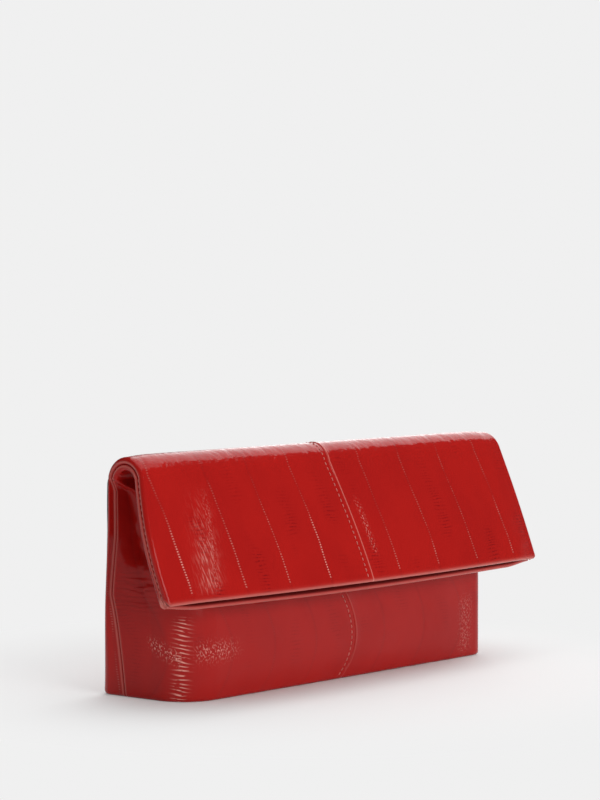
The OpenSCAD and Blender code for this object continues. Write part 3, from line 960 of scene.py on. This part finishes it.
plated_steel = steel()
magnet_profile = [(magnet_r - magnet_bevel, 0), (magnet_r, magnet_bevel),
                  (magnet_r, magnet_t - magnet_bevel), (magnet_r - magnet_bevel, magnet_t)]
for layer, body in (("back", "lip"), ("front", "flap")):
    panel = panels[layer, 1]
    normal = Vector(panel["normals"][magnet_row, magnet_column])
    place = Vector((0, *panel["points"][magnet_row, 0][1:])) - normal * facing_sink
    side_a = Vector((1, 0, 0))
    side_b = normal.cross(side_a).normalized()
    points = []
    for radius, sunk in magnet_profile:
        for k in range(magnet_turns):
            turn = 2 * math.pi * k / magnet_turns
            spoke = side_a * radius * math.cos(turn) + side_b * radius * math.sin(turn)
            points.append(place - normal * sunk + spoke)
    faces = []
    for ring in range(len(magnet_profile) - 1):
        for k in range(magnet_turns):
            a = ring * magnet_turns + k
            b = ring * magnet_turns + (k + 1) % magnet_turns
            faces.append((a, b, b + magnet_turns, a + magnet_turns))
    faces.append(list(range(magnet_turns))[::-1])
    faces.append(list(range(len(points) - magnet_turns, len(points))))
    piece = mesh_object(f"{lip_names[layer]}_magnet_disc", points, faces)
    piece.data.materials.append(plated_steel)
    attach(piece, body)
    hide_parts(f"{lip_names[layer]}_magnet")

# ---- Base ----
# The base is one piece of the same eel leather, sewn round its edge to the turned-in walls, over a
# stiff board. Black twill covers the board inside.
base_t = 1.2 * mm
base_rings = 14
base_crown = 0.45 * mm
base_edges = [
    panels["front", -1]["points"][0],
    panels["back", -1]["points"][0][::-1],
    panels["back", 1]["points"][0],
    panels["front", 1]["points"][0][::-1],
]
edge_line = np.concatenate(base_edges)[:, :2]
base_middle = np.array([0, (base_front + base_back) / 2])


def flat_map(piece):
    """Lays a UV map in metres over a flat piece, along X and Y."""
    uv = piece.data.uv_layers.get("cut") or piece.data.uv_layers.new(name="cut")
    for corner in piece.data.loops:
        spot = piece.data.vertices[corner.vertex_index].co
        uv.data[corner.index].uv = (spot.x, spot.y + spot.z)


def base_layer(name, gap, low, thick):
    """Flat layer with the outline of the foot, a little smaller by the gap, crowned in its middle."""
    reach = edge_line - base_middle
    outline = edge_line - reach / np.linalg.norm(reach, axis=1, keepdims=True) * gap
    count = len(outline)
    points = []
    for face_z in (low, low + thick):
        for ring in range(base_rings):
            share = 1 - ring / base_rings
            z = face_z + base_crown * (1 - share ** 2)
            points.extend((*(base_middle + (p - base_middle) * share), z) for p in outline)
    faces = []
    face_size = base_rings * count
    for face in (0, 1):
        for ring in range(base_rings - 1):
            start = face * face_size + ring * count
            for k in range(count):
                a = start + k
                b = start + (k + 1) % count
                quad = (a, b, b + count, a + count)
                faces.append(quad if face == 0 else quad[::-1])
        inner = [face * face_size + (base_rings - 1) * count + k for k in range(count)]
        faces.append(inner if face == 0 else inner[::-1])
    for a in range(count):
        b = (a + 1) % count
        faces.append((a, a + face_size, b + face_size, b))
    piece = mesh_object(name, points, faces)
    piece.data.shade_smooth()
    flat_map(piece)
    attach(piece, "pouch")
    return piece


base_up = 0.12 * mm
leather = base_layer("base_leather", 0.3 * mm, base_up, base_t)
leather.data.materials.append(eel)
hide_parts("base_panel")

board_low, board_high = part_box("base_board")
board_t = board_high.z - board_low.z
board_up = 0.2 * mm + base_t
board = base_layer("base_stiffener", 1.0 * mm, board_up, board_t)
board.data.materials.append(felt)
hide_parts("base_board")

cover_up = 0.3 * mm + base_t + board_t
cover = base_layer("base_cover", 1.4 * mm, cover_up, lining_t)
cover.data.materials.append(twill)
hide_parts("base_lining")

# ---- Slip pocket ----
# A flat twill pocket is sewn to the back lining.
# Its upper edge is bound with calf leather.
for name, material in (("slip_pocket", twill), ("pocket_binding", calf)):
    part = nodes[name]
    flat_map(part)
    part.data.materials.clear()
    part.data.materials.append(material)

# ---- Stitching ----
# Red thread: one row beside the centre seam of every panel, and one row down in the groove of each
# side edge of the flap.
stitch_pitch = 3.2 * mm
stitch_l = 2.3 * mm
stitch_start = 0.3 * mm
look_ahead = 0.2 * mm
thread_r = 0.32 * mm
thread_out = 0.35 * mm
beside_seam = 3.5 * mm
stitch_rings = 6
stitch_round = 7
# The thread is as red as the leather; its colour is lightened to pink as a painted glint
thread_pink_glint = (0.64, 0.17, 0.14)


def thread():
    """Waxed thread: fine slanting ridges from its twist."""
    material, tree = new_material("thread")
    twist = (read_map(tree, "cut", "X") * 40 + read_map(tree, "cut", "Y") * 9).sine()
    dark = tuple(part * shade_of_dark for part in thread_pink_glint)
    colour = mix_colours(tree, twist * 0.4 + 0.4, (*thread_pink_glint, 1), (*dark, 1))
    bump = node(tree, "ShaderNodeBump", {}, {"Strength": 0.6, "Distance": 0.1 * mm, "Height": twist})
    shader = node(tree, "ShaderNodeBsdfPrincipled", {},
                  {"Base Color": colour, "Roughness": 0.4 + twist * 0.05, "Normal": bump})
    node(tree, "ShaderNodeOutputMaterial", {}, {"Surface": shader})
    return material


waxed_thread = thread()


def stitches(name, path, up):
    """A row of separate stitches along a path of points, each a thread with sunk ends."""
    step = np.linalg.norm(np.diff(path, axis=0), axis=1)
    along = np.concatenate([[0], np.cumsum(step)])
    points = []
    faces = []
    uvs = []

    def spot(values, at):
        return np.array([np.interp(at, along, values[:, k]) for k in range(3)])

    for i in range(int((along[-1] - stitch_l) / stitch_pitch) + 1):
        start = i * stitch_pitch + stitch_start
        first = len(points)
        for ring in range(stitch_rings):
            share = ring / (stitch_rings - 1)
            at = start + share * stitch_l
            middle = spot(path, at)
            lift = spot(up, at)
            forward = spot(path, at + look_ahead) - middle
            forward /= max(np.linalg.norm(forward), 1e-9)
            across = np.cross(forward, lift)
            arch = math.sin(math.pi * share)
            radius = thread_r * (0.45 + 0.55 * arch ** 0.5)
            centre = middle + lift * thread_r * (1.1 * arch ** 0.6 - 0.75)
            for k in range(stitch_round):
                turn = 2 * math.pi * k / stitch_round
                points.append(centre + radius * (math.cos(turn) * across + math.sin(turn) * lift))
                uvs.append((share, k / stitch_round))
        for ring in range(stitch_rings - 1):
            for k in range(stitch_round):
                a = first + ring * stitch_round + k
                b = first + ring * stitch_round + (k + 1) % stitch_round
                faces.append((a, a + stitch_round, b + stitch_round, b))
        faces.append([first + k for k in range(stitch_round)])
        faces.append([first + (stitch_rings - 1) * stitch_round + k for k in reversed(range(stitch_round))])
    piece = mesh_object(name, points, faces)
    piece.data.shade_smooth()
    uvs = np.array(uvs)
    fill_map(piece, "cut", uvs[:, 0], uvs[:, 1])
    piece.data.materials.append(waxed_thread)
    return piece


def beside(panel, away):
    """Points and normals of a line at a distance from the centre seam, on every row."""
    path = np.zeros((rows_all, 3))
    up = np.zeros((rows_all, 3))
    for row in range(rows_all):
        off = np.abs(panel["u"][row])
        for k in range(3):
            path[row, k] = np.interp(away, off, panel["points"][row, :, k])
            up[row, k] = np.interp(away, off, panel["normals"][row, :, k])
    return path, up


thread_for = {
    ("back", "body"): "back_stitching",
    ("front", "body"): "front_stitching",
    ("back", "flap"): "lip_stitching",
    ("front", "flap"): "flap_inner_stitching",
}
for layer in ("back", "front"):
    path, up = beside(panels[layer, -1], beside_seam)
    for cut, rows in cuts.items():
        first = foot_rows if cut == "body" else rows[0]
        last = rows_flap + 2 if cut == "flap" else rows[1]
        piece = stitches(f"{layer}_{cut}_centre_stitches", path[first:last + 1], up[first:last + 1])
        fasten(piece, layer, cut, -1)
        if (layer, cut) in thread_for:
            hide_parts(thread_for[layer, cut])
for side in (-1, 1):
    seam = (panels["back", side]["points"][:, -1] + panels["front", side]["points"][:, -1]) / 2
    up = np.repeat([[float(side), 0.0, 0.0]], rows_all, axis=0)
    seam = seam + up * thread_out
    first = rows_roll - 1
    piece = stitches(f"side_flap_stitches_{side_name[side]}", seam[first:rows_flap], up[first:rows_flap])
    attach(piece, "flap")
